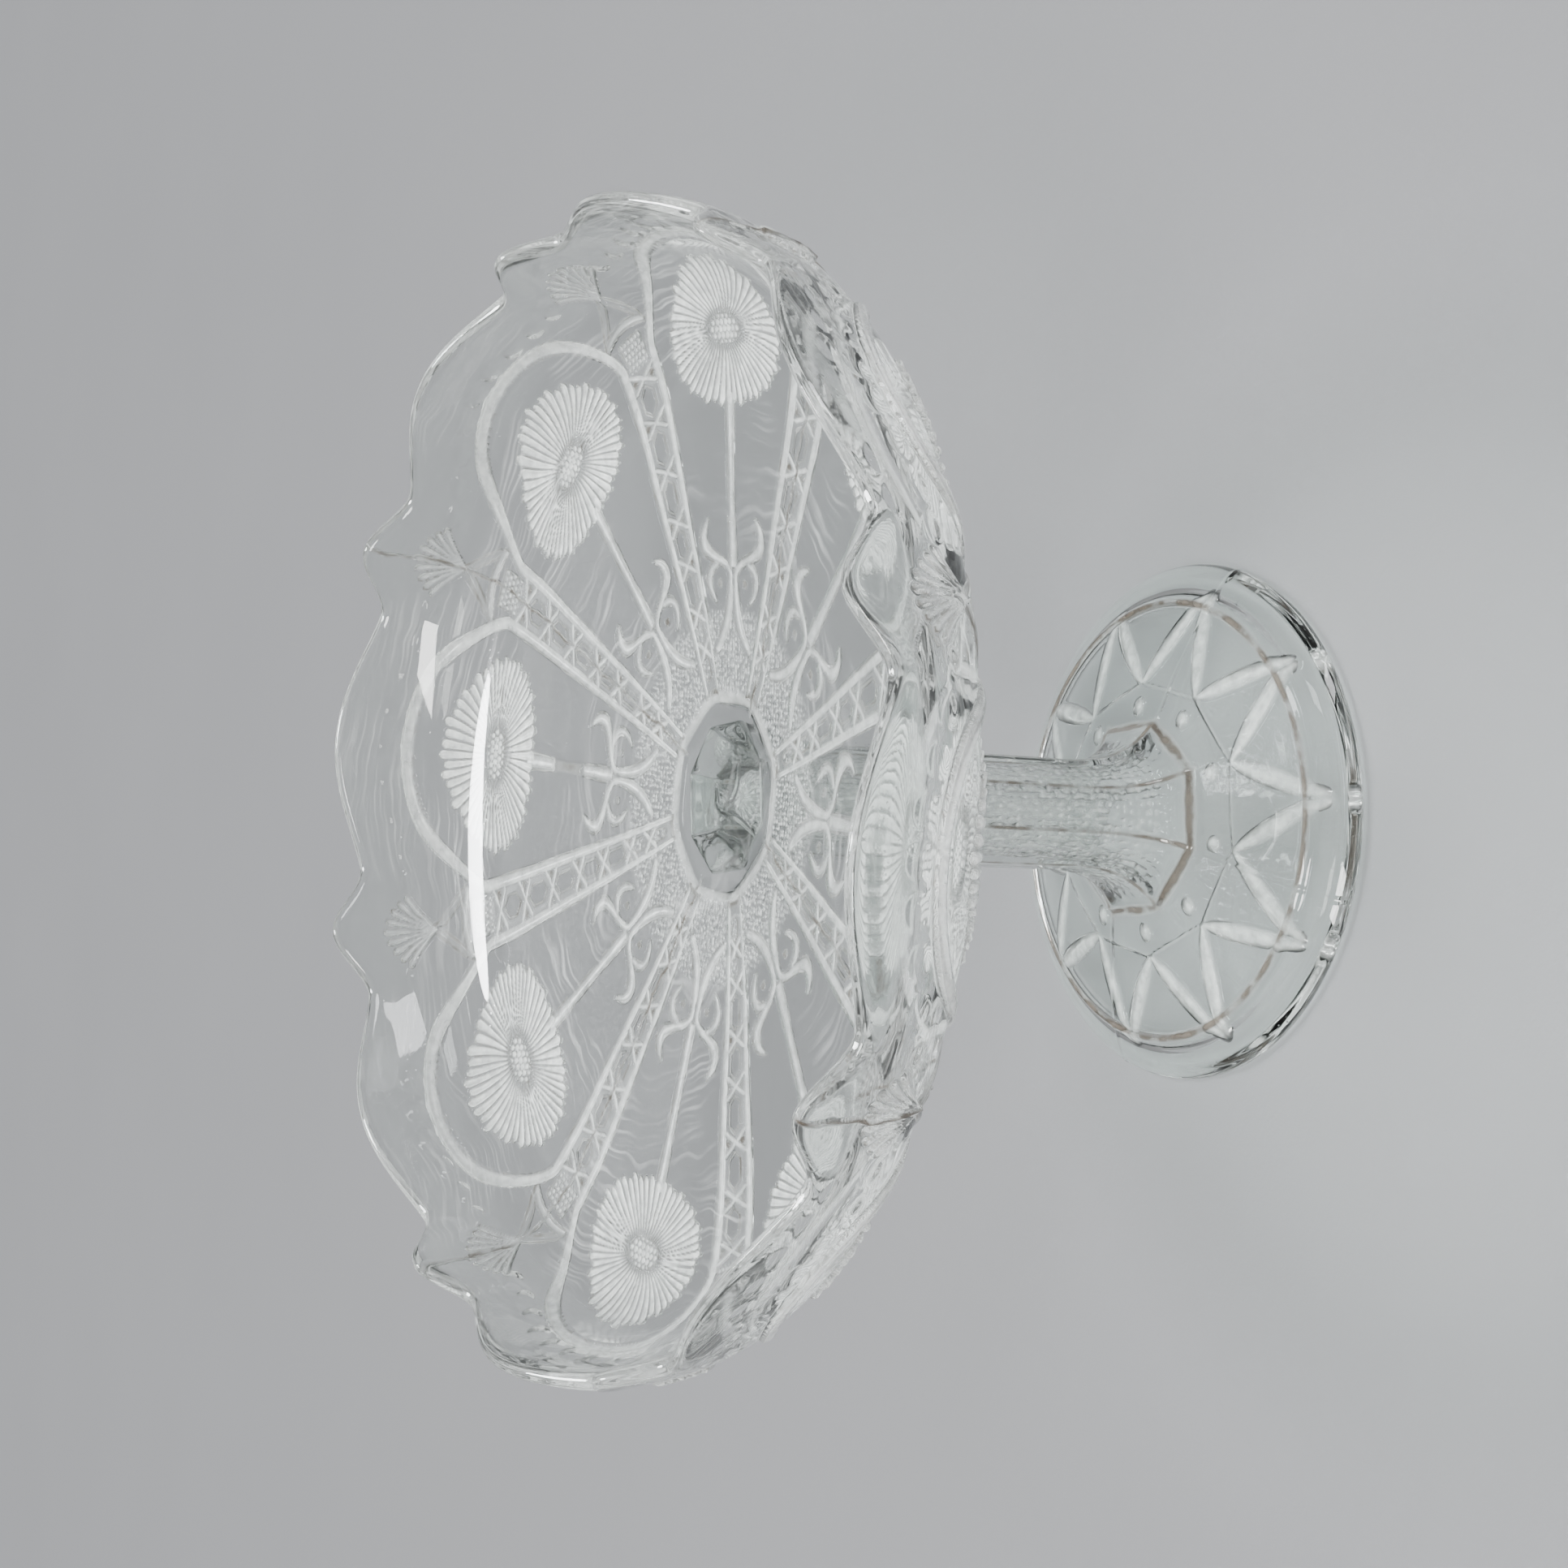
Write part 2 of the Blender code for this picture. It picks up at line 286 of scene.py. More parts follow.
def rib_head(u, v):
    """Beaded pad, cross bar and links where a rib meets the wall."""
    side = np.abs(u)
    pad = smooth(PAD_HALF, PAD_HALF - 0.6, side) * smooth(PAD_FROM, PAD_FROM + 0.6, v)
    pad = pad * smooth(PAD_TO, PAD_TO - 0.6, v)
    tall = pad * (0.3 + 0.55 * beads(u, v, 1.4))
    bar = ridge(v - 91.3 + 0.02 * side ** 2, 0.8) * smooth(8.2, 7.2, side)
    tall = np.maximum(tall, 0.7 * bar)
    link = np.abs((v - FAN_V) + 0.74 * side) / np.hypot(1, 0.74)
    return np.maximum(tall, 0.5 * ridge(link, 0.85) * smooth(7.6, 6.8, side) * (side > 0.4))


def fan_relief(u, v):
    """Leaf-shaped rays spreading up the wall from the rib's head."""
    away, angle = np.hypot(u, v - FAN_V), np.degrees(np.arctan2(u, v - FAN_V))
    tall = np.zeros_like(u)
    for k in range(-FAN_SIDE, FAN_SIDE + 1):
        turn = np.radians(angle - k * FAN_STEP)
        along, across = away * np.cos(turn), away * np.sin(turn)
        length = FAN_LENGTH * (1 - 0.025 * abs(k))
        width = 0.15 + 0.72 * np.clip(along / length, 0, 1) ** 0.9
        width = width * np.clip((length + 0.3 - along) / 1.4, 0.01, 1) ** 0.5
        tip = smooth(length + 0.3, length - 1.0, along) * (along > 0)
        tall = np.maximum(tall, ridge(across, width) * tip)
    return FAN_HEIGHT * tall


def arch_relief(u, v):
    """The ridge that arches over a daisy and runs down into the rails."""
    a, b = u / ARCH_ACROSS, (v - ARCH_V) / ARCH_RISE
    round_it = np.hypot(a, b) + 1e-9
    steep = np.hypot(a / ARCH_ACROSS, b / ARCH_RISE) / round_it
    return ridge((round_it - 1) / steep, ARCH_HALF, 0.45) * (v >= ARCH_V)


def daisy_relief(u, v, sector):
    """Ridged petals round a beaded button, a little uneven as the mould was cut by hand."""
    x, y = u, v - DAISY_V
    low, high = np.full_like(x, -0.2), np.full_like(x, 1.4)
    for _ in range(26):                  # which of the growing ellipses the point lies on
        share = (low + high) / 2
        across = BUTTON_ACROSS + share * (DAISY_ACROSS - BUTTON_ACROSS)
        radial = BUTTON_RADIAL + share * (DAISY_RADIAL - BUTTON_RADIAL)
        outside = (x / across) ** 2 + (y / radial) ** 2 > 1
        low, high = np.where(outside, share, low), np.where(outside, high, share)
    turn = np.arctan2(y / radial, x / across)
    place = turn / tau * PETALS + 0.22 * np.sin(3 * turn + sector) + 0.12 * np.sin(7 * turn + 2 * sector)
    petal = np.floor(place)
    across_petal = 2 * np.abs(place - petal - 0.5)
    odd = np.sin(petal * 2.4 + sector * 1.7)
    end = 0.985 + 0.035 * odd - 0.085 * across_petal ** 2.5
    edge = smooth(end + 0.012, end - 0.02, share)
    rounded = (1 - across_petal ** 2) ** 0.8
    crest = PETAL_HEIGHT + PETAL_GROWTH * smooth(0.0, 0.3, share)
    tall = edge * (PETAL_GROOVE + crest * rounded)
    button = np.clip(1 - (x / BUTTON_ACROSS) ** 2 - (y / BUTTON_RADIAL) ** 2, 0, 1)
    dome = (0.2 + 0.3 * button ** 0.5) * (0.6 + 0.4 * button) + 0.6 * beads(x, y, 1.5)
    return np.where(button > 0, dome, tall)


def stalk_relief(u, v, sector_azimuth):
    """A flat-topped stalk from the fleur up to the daisy."""
    width = np.interp(v, STALK_AT, STALK_WIDTHS) / 2
    tall = STALK_HEIGHT * ridge(u, width, 0.35) * smooth(STALK_FROM, STALK_FROM + 0.5, v)
    tall = tall * (v < STALK_TO)
    worn = smooth(WORN_FROM - 0.5, WORN_FROM + 0.5, v) * smooth(WORN_TO + 0.5, WORN_TO - 0.5, v)
    worn = worn * (np.abs(sector_azimuth - WORN_STALK) < 1)
    return tall * (1 - 0.9 * worn)


def underside(azimuth, v, r):
    """Height of the pressed relief in units, how frosted and stippled the glass is, and its painted
    shade mixed with seam dirt.
    """
    rib_off = from_multiple(azimuth, RIB_AZIMUTH, SECTOR)
    daisy_off = from_multiple(azimuth, DAISY_AZIMUTH, SECTOR)
    sector_azimuth = np.round(azimuth - daisy_off) % 360
    u_rib, u_daisy = np.radians(rib_off) * r, np.radians(daisy_off) * r
    x, y = r * np.sin(np.radians(np.abs(daisy_off))), r * np.cos(np.radians(daisy_off))

    tall = rib_relief(u_rib, v)
    head = (v > 80) & (np.abs(u_rib) < 9)
    tall[head] = np.maximum(tall[head], rib_head(u_rib[head], v[head]))
    wall = (v > FAN_V - 1) & (v < FAN_V + FAN_LENGTH + 1)
    tall[wall] = np.maximum(tall[wall], fan_relief(u_rib[wall], v[wall]))
    tall = np.maximum(tall, RAIL_HEIGHT * arch_relief(u_daisy, v))
    near = np.hypot(u_daisy / DAISY_ACROSS, (v - DAISY_V) / DAISY_RADIAL) < 1.1
    flower = np.zeros_like(tall)
    flower[near] = daisy_relief(u_daisy[near], v[near], sector_azimuth[near] / SECTOR)
    tall = np.maximum(tall, flower)
    tall = np.maximum(tall, stalk_relief(u_daisy, v, sector_azimuth))
    low = (y > 24) & (y < 50) & (x < 13)
    fleur = stroke(x[low], y[low], FLEUR_STEM)
    fleur = np.maximum(fleur, 0.9 * stroke(x[low], y[low], FLEUR_CURL))
    eye = ridge(np.hypot(x[low] - FLEUR_EYE[0], y[low] - FLEUR_EYE[1]), 0.8)
    tall[low] = np.maximum(tall[low], np.maximum(0.85 * fleur, 0.35 * eye))

    raised = np.clip(tall / 0.5, 0, 1)
    # Painted shade: a thin dark line round the foot of every slope of the relief.
    shade_and_soil = SLOPE_SHADE * smooth(0.02, 0.10, tall) * smooth(0.60, 0.30, tall)
    frosted = smooth(FROST_FROM, FROST_TO, tall) * np.where(flower > 0.1, 1.0, LINE_FROST)
    frosted = np.maximum(frosted, BOSS_EDGE_FROST * ridge(r - BOSS_EDGE_R, BOSS_EDGE_HALF))
    frosted = np.maximum(frosted, WALL_FROST * smooth(92, 104, v))
    ground = (1 - raised) * smooth(35, 31, v) * smooth(18.5, 19.5, v)
    east, north = r * np.cos(np.radians(azimuth)), r * np.sin(np.radians(azimuth))
    ground = ground * grains(east, north, GRAIN_PITCH, GRAIN_SEED)
    tall = tall + GRAIN_HEIGHT * ground
    for u_print, v_print in THUMBPRINTS:
        print_x = (np.abs(u_daisy) - u_print) / PRINT_ACROSS
        print_y = (v - v_print) / PRINT_ALONG
        tall = tall - PRINT_DEPTH * np.clip(1 - print_x ** 2 - print_y ** 2, 0, 1) * (1 - raised)
    centre = r < 15
    for mark in PULL_MARKS:
        tall[centre] = np.maximum(tall[centre], MARK_HEIGHT * stroke(east[centre], north[centre], mark))
    seam_off = np.radians(from_multiple(azimuth, DISH_SEAM, SEAM_SPACING)) * r
    seam_off = seam_off - 0.25 * np.sin(v * 0.41) - 0.12 * np.sin(v * 1.3)
    seam = ridge(seam_off, DISH_SEAM_HALF) * smooth(15, 18, v)
    shade_and_soil = np.maximum(shade_and_soil, SEAM_DIRT * seam)
    return tall + DISH_SEAM_HEIGHT * seam, frosted, np.clip(ground + 0.3 * seam, 0, 1), shade_and_soil


def rim_height(azimuth):
    """A narrow bump over a rib, a notch each side of it, then a wide lobe over a daisy."""
    off = np.abs(from_multiple(azimuth, RIB_AZIMUTH, SECTOR))
    bump = RIM_NOTCH + (RIM_BUMP - RIM_NOTCH) * (0.5 + 0.5 * np.cos(pi * off / NOTCH_ANGLE))
    rise = np.clip((off - NOTCH_ANGLE) / (SECTOR / 2 - NOTCH_ANGLE), 0, 1)
    lobe = RIM_NOTCH + (RIM_LOBE - RIM_NOTCH) * np.sin(pi / 2 * rise) ** 1.3
    return np.where(off <= NOTCH_ANGLE, bump, lobe)


def octagon(azimuth, corner, crisp):
    """Radius of an octagon with rounded corners, as a share of its sharp corner radius."""
    total = 0
    for k in range(8):
        total = total + np.clip(np.cos(np.radians(azimuth - corner - 22.5 - 45 * k)), 0, 1) ** crisp
    return np.cos(pi / 8) / total ** (1 / crisp)


# ---------------------------------------------------------------- skins and meshes
# The last mark mixes painted shade (at the foot of the relief's slopes and along the stem's corners)
# with real grime (on the dish's seams, the pedestal's collar and the foot's ring).
MARKS = ("frosted", "stippled", "worn", "shade_and_grime")


class Skin:
    """Rings of points joined into one closed surface, from one pole to the other."""

    def __init__(self):
        self.points, self.marks, self.rings = [], [], []
        self.count = 0

    def ring(self, r, z, azimuth, *marks):
        turn = np.radians(azimuth)
        self.points.append(np.column_stack([r * np.cos(turn), r * np.sin(turn), z]))
        self.marks.append(np.column_stack(marks))
        self.rings.append((self.count, len(azimuth)))
        self.count += len(azimuth)

    def faces(self):
        quads, triangles = [], []
        for (a, na), (b, nb) in zip(self.rings, self.rings[1:]):
            i = np.arange(max(na, nb) if 1 in (na, nb) else min(na, nb))
            j = (i + 1) % len(i)
            if na == nb:
                quads.append(np.column_stack([a + i, a + j, b + j, b + i]))
            elif na == 1:
                triangles.append(np.column_stack([a + 0 * i, b + j, b + i]))
            elif nb == 1:
                triangles.append(np.column_stack([a + i, a + j, b + 0 * i]))
            elif nb == 2 * na:
                middle, last = b + 2 * i + 1, b + (2 * i + 2) % nb
                triangles += [np.column_stack([a + i, middle, b + 2 * i]),
                              np.column_stack([a + i, a + j, middle]),
                              np.column_stack([a + j, last, middle])]
            else:
                middle, last = a + 2 * i + 1, a + (2 * i + 2) % na
                triangles += [np.column_stack([a + 2 * i, middle, b + i]),
                              np.column_stack([middle, b + j, b + i]),
                              np.column_stack([middle, last, b + j])]
        return np.vstack(quads), np.vstack(triangles)

    def build(self, name, mark_names, material, flipped=False):
        quads, triangles = self.faces()
        if flipped:
            quads, triangles = quads[:, ::-1], triangles[:, ::-1]
        points = np.vstack(self.points) * UNIT
        loops = np.concatenate([quads.ravel(), triangles.ravel()])
        starts = np.concatenate([np.arange(len(quads)) * 4,
                                 len(quads) * 4 + np.arange(len(triangles)) * 3])
        mesh = bpy.data.meshes.new(name)
        mesh.vertices.add(len(points))
        mesh.vertices.foreach_set("co", points.astype(np.float32).ravel())
        mesh.loops.add(len(loops))
        mesh.loops.foreach_set("vertex_index", loops.astype(np.int32))
        mesh.polygons.add(len(starts))
        mesh.polygons.foreach_set("loop_start", starts.astype(np.int32))
        mesh.update(calc_edges=True)
        mesh.validate()
        for k, mark in enumerate(mark_names):
            values = np.concatenate([m[:, k] for m in self.marks]).astype(np.float32)
            mesh.attributes.new(mark, "FLOAT", "POINT").data.foreach_set("value", values)
        mesh.shade_smooth()
        mesh.materials.append(material)
        piece = bpy.data.objects.new(name, mesh)
        bpy.context.scene.collection.objects.link(piece)
        return piece


def turns(steps):
    return np.arange(steps) * 360 / steps


def scalloped(z, azimuth):
    share = np.clip((z - SCALLOP_FROM) / (RIM_TOP - SCALLOP_FROM), 0, 1)
    return z + share ** 1.5 * (rim_height(azimuth) - RIM_TOP)


def ring_lengths(span, later_start=0.0, later_end=0.0):
    first, last, spacing = span
    return np.arange(first + later_start, last + later_end, spacing)


def make_dish(material):
    """Up from the boss along the patterned underside, over the rim and down the smooth inside."""
    skin = Skin()
    outside, inside = curve_through(DISH_OUTSIDE), curve_through(DISH_INSIDE)
    out_lengths, in_lengths = path_lengths(outside), path_lengths(inside)
    datum = np.interp(RELIEF_DATUM_R, outside[:FLOOR_SAMPLES, 0], out_lengths[:FLOOR_SAMPLES])
    boss_extra = datum - RELIEF_DATUM_R

    bands = [(np.array([0.0]), 1),
             (ring_lengths(BOSS_RINGS), PLAIN),
             (ring_lengths(FLOOR_RINGS, later_end=boss_extra), MEDIUM),
             (ring_lengths(DAISY_RINGS, later_start=boss_extra), FINE),
             (ring_lengths(WALL_RINGS), FINE),
             (np.linspace(RIM_FROM, out_lengths[-1] - RIM_MARGIN, RIM_RINGS), MEDIUM)]
    for wanted, steps in bands:
        where, along = at_lengths(outside, out_lengths, wanted)
        azimuth = turns(steps)
        for length, (r0, z0), (tr, tz) in zip(wanted, where, along):
            arc = length - boss_extra
            v = np.full(steps, arc - BEND_STRETCH * smooth(BEND_FROM, BEND_TO, arc))
            tall, frosted, stippled, shade_and_soil = underside(azimuth, v, np.full(steps, r0))
            tall = tall * smooth(0, RELIEF_FADE, out_lengths[-1] - length)
            r, z = r0 + tall * tz, z0 - tall * tr
            cornered = 1 - smooth(*BOSS_CORNERS, r0)
            r = r * (1 + cornered * (octagon(azimuth, RIB_AZIMUTH, BOSS_CRISP) * BOSS_SWELL - 1))
            skin.ring(r, scalloped(z, azimuth), azimuth, frosted, stippled, 0 * r, shade_and_soil)

    edge = in_lengths[-1]
    bands = [(np.linspace(edge, edge - LIP_LENGTH, LIP_RINGS), MEDIUM),
             (np.linspace(edge - LIP_LENGTH - 1, INNER_WALL_TO, INNER_WALL_RINGS), MEDIUM),
             (ring_lengths(INNER_FLOOR_RINGS), PLAIN),
             (np.array([0.0]), 1)]
    for wanted, steps in bands:
        where, _ = at_lengths(inside, in_lengths, wanted)
        azimuth = turns(steps)
        for r0, z0 in where:
            none = np.zeros(steps)
            skin.ring(r0 + none, scalloped(z0 + none, azimuth), azimuth, none, none, none + 1, none)
    return skin.build("pressed_glass_dish", MARKS, material)


def star_depth(azimuth, r):
    """Depth of the ten-point star, its base edges and its dimples, pressed up into the foot."""
    spacing = 360 / STAR_POINTS
    off = from_multiple(azimuth, STAR_TIP[1], spacing)
    side = np.abs(np.radians(off))
    x, y = r * np.sin(side), r * np.cos(side)
    half = radians(spacing / 2)
    bx, by = STAR_INNER[0] * np.sin(half), STAR_INNER[0] * np.cos(half)
    ax, ay = 0.0, STAR_TIP[0]
    span = np.hypot(bx - ax, by - ay)
    t = ((x - ax) * (bx - ax) + (y - ay) * (by - ay)) / span ** 2
    away = np.abs((x - ax) * (by - ay) - (y - ay) * (bx - ax)) / span
    width = STAR_HALF * np.clip(4 * t * (1 - t), 0, 1) ** 0.55 + 1e-6
    depth = STAR_DEPTH * np.clip(1 - away / width, 0, 1) ** 0.6 * (t > 0) * (t < 1)
    base = BASE_EDGE_DEPTH * np.clip(1 - np.abs(y - by) / BASE_EDGE_HALF, 0, 1)
    base = base * (r < STAR_INNER[0] + 2)
    dimple_x = r * np.sin(half - side)
    dimple_y = r * np.cos(half - side) - DIMPLE_R
    dimple = DIMPLE_DEPTH * ridge(np.hypot(dimple_x, dimple_y), DIMPLE_HALF, 1.0)
    return np.maximum(np.maximum(depth, base), dimple)


def foot_seam(azimuth, r):
    off = np.radians(from_multiple(azimuth, PEDESTAL_CORNER, SEAM_SPACING)) * r
    return SEAM_HEIGHT * ridge(off - 0.15 * np.sin(r * 0.5), SEAM_HALF)


def facet_edges(azimuth):
    """1 on the stem's eight corners, 0 a few degrees away."""
    return ridge(from_multiple(azimuth, PEDESTAL_CORNER, 45), CORNER_HALF, 1.0)


def facet_dip(azimuth):
    """1 in the middle of a facet, 0 at its corners."""
    off = from_multiple(azimuth, PEDESTAL_CORNER + 22.5, 45)
    return np.clip(1 - (off / 20.5) ** 2, 0, 1)


def make_pedestal(material):
    """Down the stem from the lapped top, over the foot, under it and up inside the hollow."""
    skin = Skin()
    top = [(r, z + JOIN_LAP) if z > 99.5 else (r, z) for r, z in PEDESTAL_TOP]
    outer = curve_through(top + PEDESTAL_STEM + PEDESTAL_FLARE + FOOT_TOP + FOOT_UNDER + HOLLOW)
    lengths = path_lengths(outer)

    def length_at(r, z):
        return lengths[np.argmin(np.hypot(outer[:, 0] - r, outer[:, 1] - z))]

    stem_from, stem_to = length_at(*PEDESTAL_STEM[1]), length_at(*PEDESTAL_STEM[-1])
    collar, rest = length_at(*PEDESTAL_FLARE[-1]), length_at(*FOOT_TOP[-1])
    under, hollow = length_at(*FOOT_UNDER[1]), length_at(*FOOT_UNDER[-1])
    # Lengths of the rings, points in a ring, and what the band belongs to.  A small gap keeps
    # each band's first ring off the last ring of the band before.
    bands = [(np.array([0.0]), 1, "top"),
             (np.linspace(3, stem_from, TOP_RINGS), STEM_FINE, "stem"),
             (np.linspace(stem_from + 2, stem_to, STEM_RINGS), STEM_FINE, "stem"),
             (np.linspace(stem_to + 0.5, collar + 2.5, COLLAR_RINGS), STEM_FINE, "stem"),
             (np.linspace(collar + 3, rest, FOOT_RINGS), FOOT_STEPS, "foot"),
             (np.linspace(rest + 0.4, under, EDGE_RINGS), FOOT_STEPS, "foot"),
             (np.arange(under + 0.3, hollow - 3, STAR_SPACING), FOOT_STEPS, "star"),
             (np.linspace(hollow - 2.8, hollow + 4, MOUTH_RINGS), STEM_FINE, "hollow"),
             (np.arange(hollow + 4.6, lengths[-1] - 0.3, HOLLOW_SPACING), HOLLOW_STEPS, "hollow"),
             (lengths[-1:], 1, "top")]
    for wanted, steps, part in bands:
        where, along = at_lengths(outer, lengths, wanted)
        azimuth = turns(steps)
        for length, (r0, z0), (tr, tz) in zip(wanted, where, along):
            r, z = np.full(steps, r0), np.full(steps, z0)
            frosted, stippled, shade_and_soil = np.zeros(steps), np.zeros(steps), np.zeros(steps)
            if part == "stem":
                square = 1 - smooth(collar - 0.4, collar + 2.4, length)
                r = r * (1 + square * (octagon(azimuth, PEDESTAL_CORNER, STEM_CRISP) - 1))
                r = r - FACET_DIP * square * facet_dip(azimuth) * (length > stem_from)
                # Painted shade darkens the stem's corners.
                shade_and_soil = CORNER_SHADE * square * facet_edges(azimuth) * (length > stem_from)
            if part in ("foot", "stem"):
                raised = foot_seam(azimuth, r0) * smooth(collar, collar + 2, length)
                raised = raised * smooth(rest, rest - 2.5, length)
                r, z = r - raised * tz, z + raised * tr
            if part == "star":
                depth = star_depth(azimuth, r0) * smooth(under + 0.5, under + 3.5, length)
                r, z = r + depth * tz, z - depth * tr
                frosted = 0.85 * smooth(0.05, 0.95, depth)
            if part == "hollow":
                rough = grains(np.radians(azimuth) * 7, np.full(steps, length), 1.4, 9.0)
                r = np.maximum(r - 0.5 * rough * smooth(0, 2.5, r), 0.4)
                stippled = rough * smooth(hollow, hollow + 6, length)
                frosted = 0.9 * stippled
            # Real grime in the collar and round the foot's ring.
            shade_and_grime = ridge(r0 - RING_BEAD_R, 0.8) + ridge(length - collar, 0.9) * (part != "star")
            skin.ring(r, z, azimuth, frosted, stippled, 0 * r, np.maximum(shade_and_soil, shade_and_grime * (z0 > 5)))
    return skin.build("glass_pedestal", MARKS, material, flipped=True)


# ---------------------------------------------------------------- materials
class Nodes:
    """A short way to write a node tree."""

    def __init__(self, name):
        self.material = bpy.data.materials.new(name)
        self.material.use_nodes = True
        self.tree = self.material.node_tree
        self.tree.nodes.clear()

    def add(self, kind, inputs=None, **settings):
        node = self.tree.nodes.new(kind)
        for key, value in settings.items():
            setattr(node, key, value)
        for key, value in (inputs or {}).items():
            if isinstance(value, bpy.types.NodeSocket):
                self.tree.links.new(value, node.inputs[key])
            else:
                node.inputs[key].default_value = value
        return node

    def math(self, operation, a, b=0.0, clamp=False):
        node = self.add("ShaderNodeMath", {0: a, 1: b}, operation=operation, use_clamp=clamp)
        return node.outputs[0]

    def span(self, value, low, high, to_low=0.0, to_high=1.0):
        """Where value lies between low and high, spread from to_low to to_high."""
        node = self.add("ShaderNodeMapRange", {"Value": value, "From Min": low, "From Max": high,
                                               "To Min": to_low, "To Max": to_high})
        return node.outputs[0]

    def noise(self, scale, detail, vector):
        inputs = {"Scale": scale, "Detail": detail, "Vector": vector}
        return self.add("ShaderNodeTexNoise", inputs).outputs["Fac"]

    def mark(self, name):
        return self.add("ShaderNodeAttribute", attribute_name=name).outputs["Fac"]


DISH_TINT, PEDESTAL_TINT = (0.84, 0.865, 0.85), (0.82, 0.85, 0.835)
# One dark brown serves for real grime and for painted shade.
FROST_COLOUR, SHADE_AND_GRIME_COLOUR = (0.96, 0.965, 0.95, 1), (0.135, 0.115, 0.095, 1)
SHADOW_COLOUR = (0.78, 0.80, 0.79, 1)
FLOOR_TONES = ((0.188, 0.191, 0.197, 1), (0.204, 0.207, 0.213, 1))


def pressed_glass(name, tint):
    """Old pressed glass: clear, faintly grey-green, frosted where the mould was cut, worn inside."""
    n = Nodes(name)
    place = n.add("ShaderNodeTexCoord").outputs["Object"]
    frosted, stippled, worn, shade_and_grime = (n.mark(mark) for mark in MARKS)

    # Fine rubbed scratches that run round the dish in broken, hazy patches.
    parts = n.add("ShaderNodeSeparateXYZ", {"Vector": place}).outputs
    radius = n.add("ShaderNodeVectorMath", {0: place}, operation="LENGTH").outputs["Value"]
    lane = n.math("ADD", n.math("MULTIPLY", radius, 1500.0),
                  n.math("MULTIPLY", n.noise(26.0, 3.0, place), 26.0))
    drift = n.math("MULTIPLY", n.math("ADD", parts[0], parts[1]), 34.0)
    lane_at = n.add("ShaderNodeCombineXYZ", {"X": lane, "Y": drift}).outputs[0]
    scratch = n.span(n.noise(1.0, 2.0, lane_at), 0.50, 0.70)
    patch = n.span(n.noise(38.0, 4.0, place), 0.42, 0.66)
    rubbed = n.math("MULTIPLY", n.math("MULTIPLY", scratch, patch), worn)

    # Frosting scatters light: it raises the roughness and takes some of the transmission away.
    fine = n.noise(1400.0, 2.0, place)
    haze = n.math("MULTIPLY", frosted, n.span(n.noise(420.0, 3.0, place), 0.3, 0.7, 0.55, 1.0))
    haze = n.math("MAXIMUM", haze, n.math("MULTIPLY", stippled, 0.8))
    rough = n.math("ADD", n.math("MULTIPLY", haze, 0.16), n.math("MULTIPLY", rubbed, 0.16))
    rough = n.math("ADD", rough, n.span(fine, 0.3, 0.8, 0.012, 0.05))
    cloud = n.math("ADD", n.math("MULTIPLY", haze, 0.60), n.math("MULTIPLY", rubbed, 0.34))
    # Painted shade and real grime from the last mark, broken up by noise: it clouds the glass and
    # darkens its colour.
    shade_and_dirt = n.math("MULTIPLY", shade_and_grime, n.span(n.noise(210.0, 4.0, place), 0.35, 0.65, 0.25, 0.8))
    cloud = n.math("MAXIMUM", cloud, shade_and_dirt)
    clear = n.math("SUBTRACT", 1.0, cloud, clamp=True)

    # Slow waves from the mould, small pits, and a grain on the frosted crests.
    wave = n.noise(46.0, 1.5, place)
    pits = n.add("ShaderNodeTexVoronoi", {"Vector": place, "Scale": 620.0}).outputs["Distance"]
    pitted = n.math("MULTIPLY", n.span(pits, 0.0, 0.16), 0.10)
    stipple = n.add("ShaderNodeTexVoronoi", {"Vector": place, "Scale": 1500.0}).outputs["Distance"]
    grain = n.math("MULTIPLY", n.math("MULTIPLY", stipple, haze), 0.35)
    relief = n.math("ADD", n.math("ADD", wave, pitted), grain)
    bump = n.add("ShaderNodeBump", {"Strength": 0.32, "Distance": 0.00035, "Height": relief})

    colour = n.add("ShaderNodeMix", {"Factor": haze}, data_type="RGBA")
    colour.inputs[6].default_value = (*tint, 1)
    colour.inputs[7].default_value = FROST_COLOUR
    thick = n.math("MULTIPLY", shade_and_dirt, 2.2, clamp=True)
    shade_and_soil = n.add("ShaderNodeMix", {"Factor": thick, 6: colour.outputs[2]}, data_type="RGBA")
    shade_and_soil.inputs[7].default_value = SHADE_AND_GRIME_COLOUR
    shader = n.add("ShaderNodeBsdfPrincipled", {
        "Base Color": shade_and_soil.outputs[2], "Roughness": rough, "IOR": 1.52,
        "Transmission Weight": clear, "Normal": bump.outputs[0]})
    passing = n.add("ShaderNodeBsdfTransparent", {"Color": SHADOW_COLOUR})
    path = n.add("ShaderNodeLightPath").outputs["Is Shadow Ray"]
    mixed = n.add("ShaderNodeMixShader", {0: path, 1: shader.outputs[0], 2: passing.outputs[0]})
    n.add("ShaderNodeOutputMaterial", {"Surface": mixed.outputs[0]})
    return n.material


def floor_material():
    n = Nodes("studio_floor")
    place = n.add("ShaderNodeTexCoord").outputs["Object"]
    tone = n.add("ShaderNodeMix", {"Factor": n.noise(9.0, 3.0, place)}, data_type="RGBA")
    tone.inputs[6].default_value, tone.inputs[7].default_value = FLOOR_TONES
    tooth = n.noise(900.0, 2.0, place)
    weave = n.add("ShaderNodeBump", {"Strength": 0.15, "Distance": 0.0004, "Height": tooth})
    shader = n.add("ShaderNodeBsdfPrincipled", {
        "Base Color": tone.outputs[2], "Roughness": 0.85, "Normal": weave.outputs[0]})
    n.add("ShaderNodeOutputMaterial", {"Surface": shader.outputs[0]})
    return n.material


